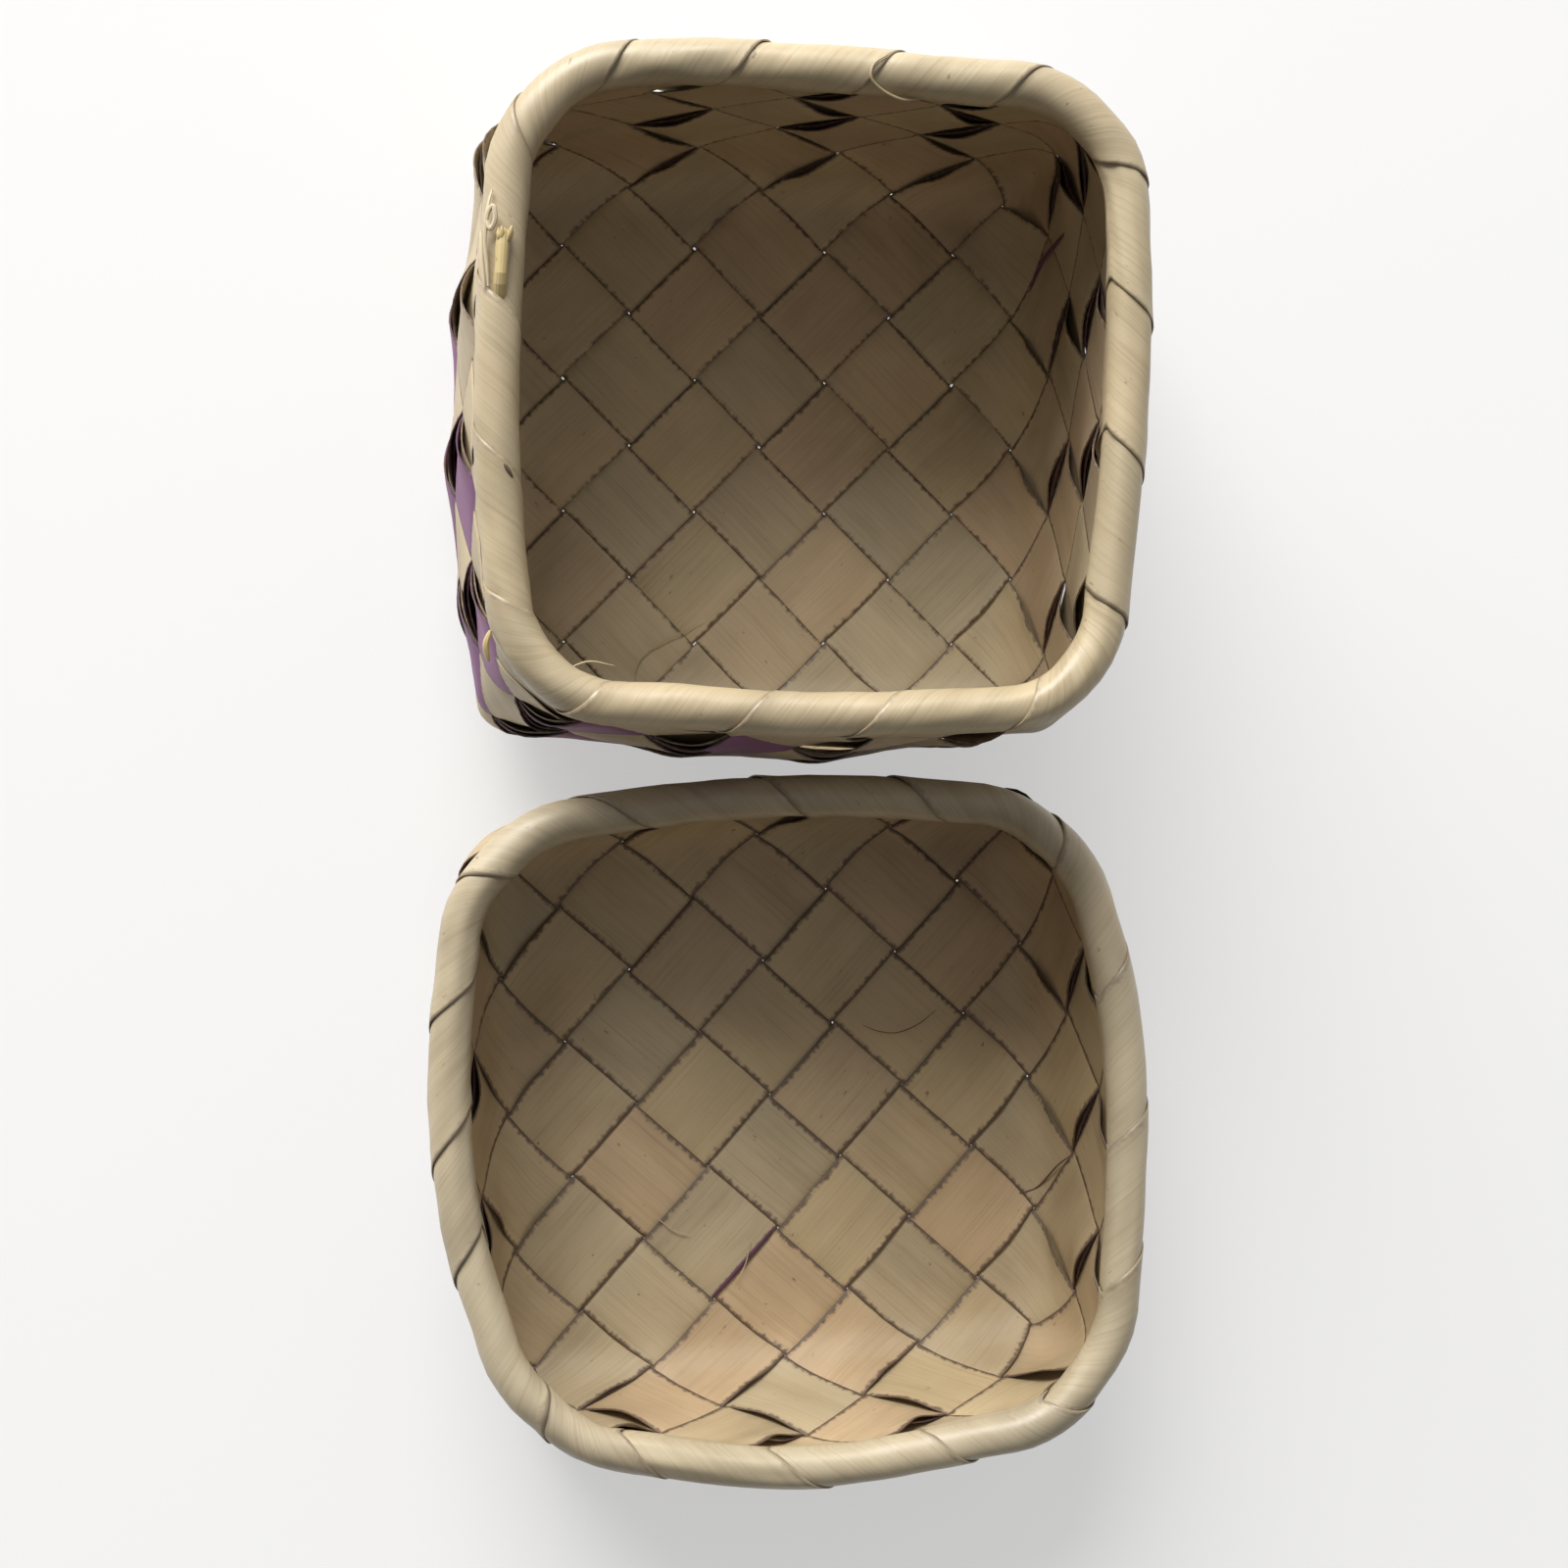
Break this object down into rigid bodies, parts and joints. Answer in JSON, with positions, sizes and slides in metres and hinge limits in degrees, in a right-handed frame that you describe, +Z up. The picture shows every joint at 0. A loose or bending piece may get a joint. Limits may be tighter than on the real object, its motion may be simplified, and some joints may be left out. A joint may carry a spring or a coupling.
{
  "type": "palm leaf box",
  "caption": "Square box plaited from palm leaf strips on the diagonal, with a rolled rim, and its shallower lid lying mouth up beside it.",
  "frame": {"origin": "middle of the bounding box at its foot, on the surface that the base and the lid stand on", "axes": "+Z up, +Y from the lid towards the base, +X to the right of someone who looks from the lid's side"},
  "size_m": [0.1314, 0.249, 0.0797],
  "materials": {
    "leaf_natural": "dried leaf, satin along the fibres",
    "leaf_dyed": "dried leaf dyed purple, satin",
    "midrib": "peeled leaf midrib, matt"
  },
  "bodies": {
    "base": {"base_leaf_a1": "leaf_natural", "base_leaf_b1": "leaf_natural", "base_dyed_leaf_1": "leaf_dyed", "base_leaf_a2": "leaf_natural", "base_leaf_b2": "leaf_natural", "base_dyed_leaf_2": "leaf_dyed", "base_leaf_a3": "leaf_natural", "base_leaf_b3": "leaf_natural", "base_dyed_leaf_3": "leaf_dyed", "base_leaf_a4": "leaf_natural", "base_leaf_b4": "leaf_natural", "base_dyed_leaf_4": "leaf_dyed", "base_leaf_a5": "leaf_natural", "base_leaf_b5": "leaf_natural", "base_dyed_leaf_5": "leaf_dyed", "base_leaf_a6": "leaf_natural", "base_leaf_b6": "leaf_natural", "base_dyed_leaf_6": "leaf_dyed", "base_leaf_a7": "leaf_natural", "base_leaf_b7": "leaf_natural", "base_dyed_leaf_7": "leaf_dyed", "base_leaf_a8": "leaf_natural", "base_leaf_b8": "leaf_natural", "base_dyed_leaf_8": "leaf_dyed", "base_rim_stick": "midrib"},
    "lid": {"lid_leaf_a1": "leaf_natural", "lid_leaf_b1": "leaf_natural", "lid_dyed_leaf_1": "leaf_dyed", "lid_leaf_a2": "leaf_natural", "lid_leaf_b2": "leaf_natural", "lid_dyed_leaf_2": "leaf_dyed", "lid_leaf_a3": "leaf_natural", "lid_leaf_b3": "leaf_natural", "lid_dyed_leaf_3": "leaf_dyed", "lid_leaf_a4": "leaf_natural", "lid_leaf_b4": "leaf_natural", "lid_dyed_leaf_4": "leaf_dyed", "lid_leaf_a5": "leaf_natural", "lid_leaf_b5": "leaf_natural", "lid_dyed_leaf_5": "leaf_dyed", "lid_leaf_a6": "leaf_natural", "lid_leaf_b6": "leaf_natural", "lid_dyed_leaf_6": "leaf_dyed", "lid_leaf_a7": "leaf_natural", "lid_leaf_b7": "leaf_natural", "lid_dyed_leaf_7": "leaf_dyed", "lid_leaf_a8": "leaf_natural", "lid_leaf_b8": "leaf_natural", "lid_dyed_leaf_8": "leaf_dyed", "lid_rim_stick": "midrib"}
  },
  "joints": [
    {"name": "lid_lift", "type": "slide", "parent": "base", "child": "lid", "axis": [0, 0, 1], "range_m": [0, 0.085]}
  ]
}
